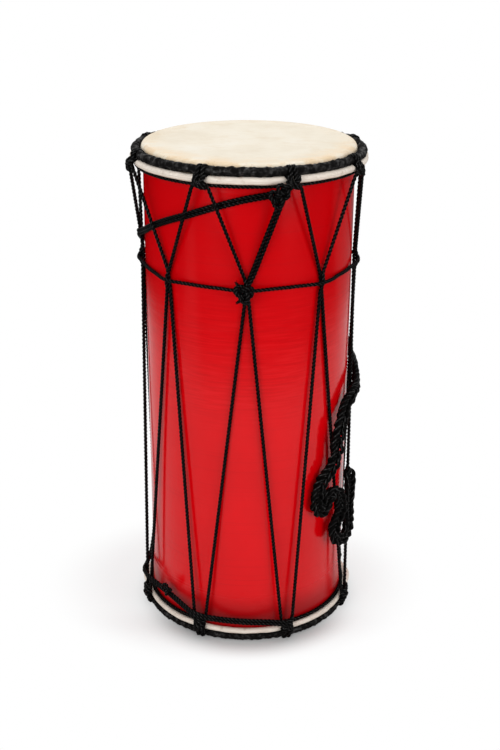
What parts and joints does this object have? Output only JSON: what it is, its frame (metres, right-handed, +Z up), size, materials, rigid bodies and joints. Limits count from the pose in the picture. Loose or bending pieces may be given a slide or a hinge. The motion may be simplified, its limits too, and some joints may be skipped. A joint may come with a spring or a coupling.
{
  "type": "two-headed rope-laced drum",
  "caption": "Straight red lacquered drum with a rawhide head at each end, laced with black rope over wrapped rings and left with a chained spare rope end.",
  "frame": {"origin": "centre of the lower head's playing face", "axes": "+Z up the drum's axis to the upper head; -Y is the front, where the girdle is knotted"},
  "size_m": [0.2396, 0.2454, 0.509],
  "materials": {
    "lacquer": "high-gloss red lacquer over fine turning lines",
    "rawhide": "matt, faintly mottled",
    "steel": "plain rod",
    "cloth": "rough wound cloth",
    "rope": "twisted, slightly shiny"
  },
  "bodies": {
    "drum": {"shell": "lacquer", "top_head_skin": "rawhide", "top_flesh_hoop": "steel", "top_crown_ring": "steel", "top_ring_wrap": "cloth", "top_binding_line": "rope", "bottom_head_skin": "rawhide", "bottom_flesh_hoop": "steel", "bottom_crown_ring": "steel", "bottom_ring_wrap": "cloth", "bottom_binding_line": "rope", "lacing_rope_1": "rope", "lacing_rope_2": "rope", "girdle_rope": "rope", "girdle_spare_end": "rope", "girdle_knot": "rope", "spare_strap": "rope", "strap_knot": "rope", "lower_tie": "rope", "lower_tie_knot": "rope"},
    "spare_tail": {"spare_chain": "rope"}
  },
  "joints": [
    {"name": "tail_swing", "type": "hinge", "parent": "drum", "child": "spare_tail", "pos_m": [0.10179, 0.03705, 0.2925], "axis": [-0.6157, -0.788, 0], "range_deg": [0, 60]}
  ]
}
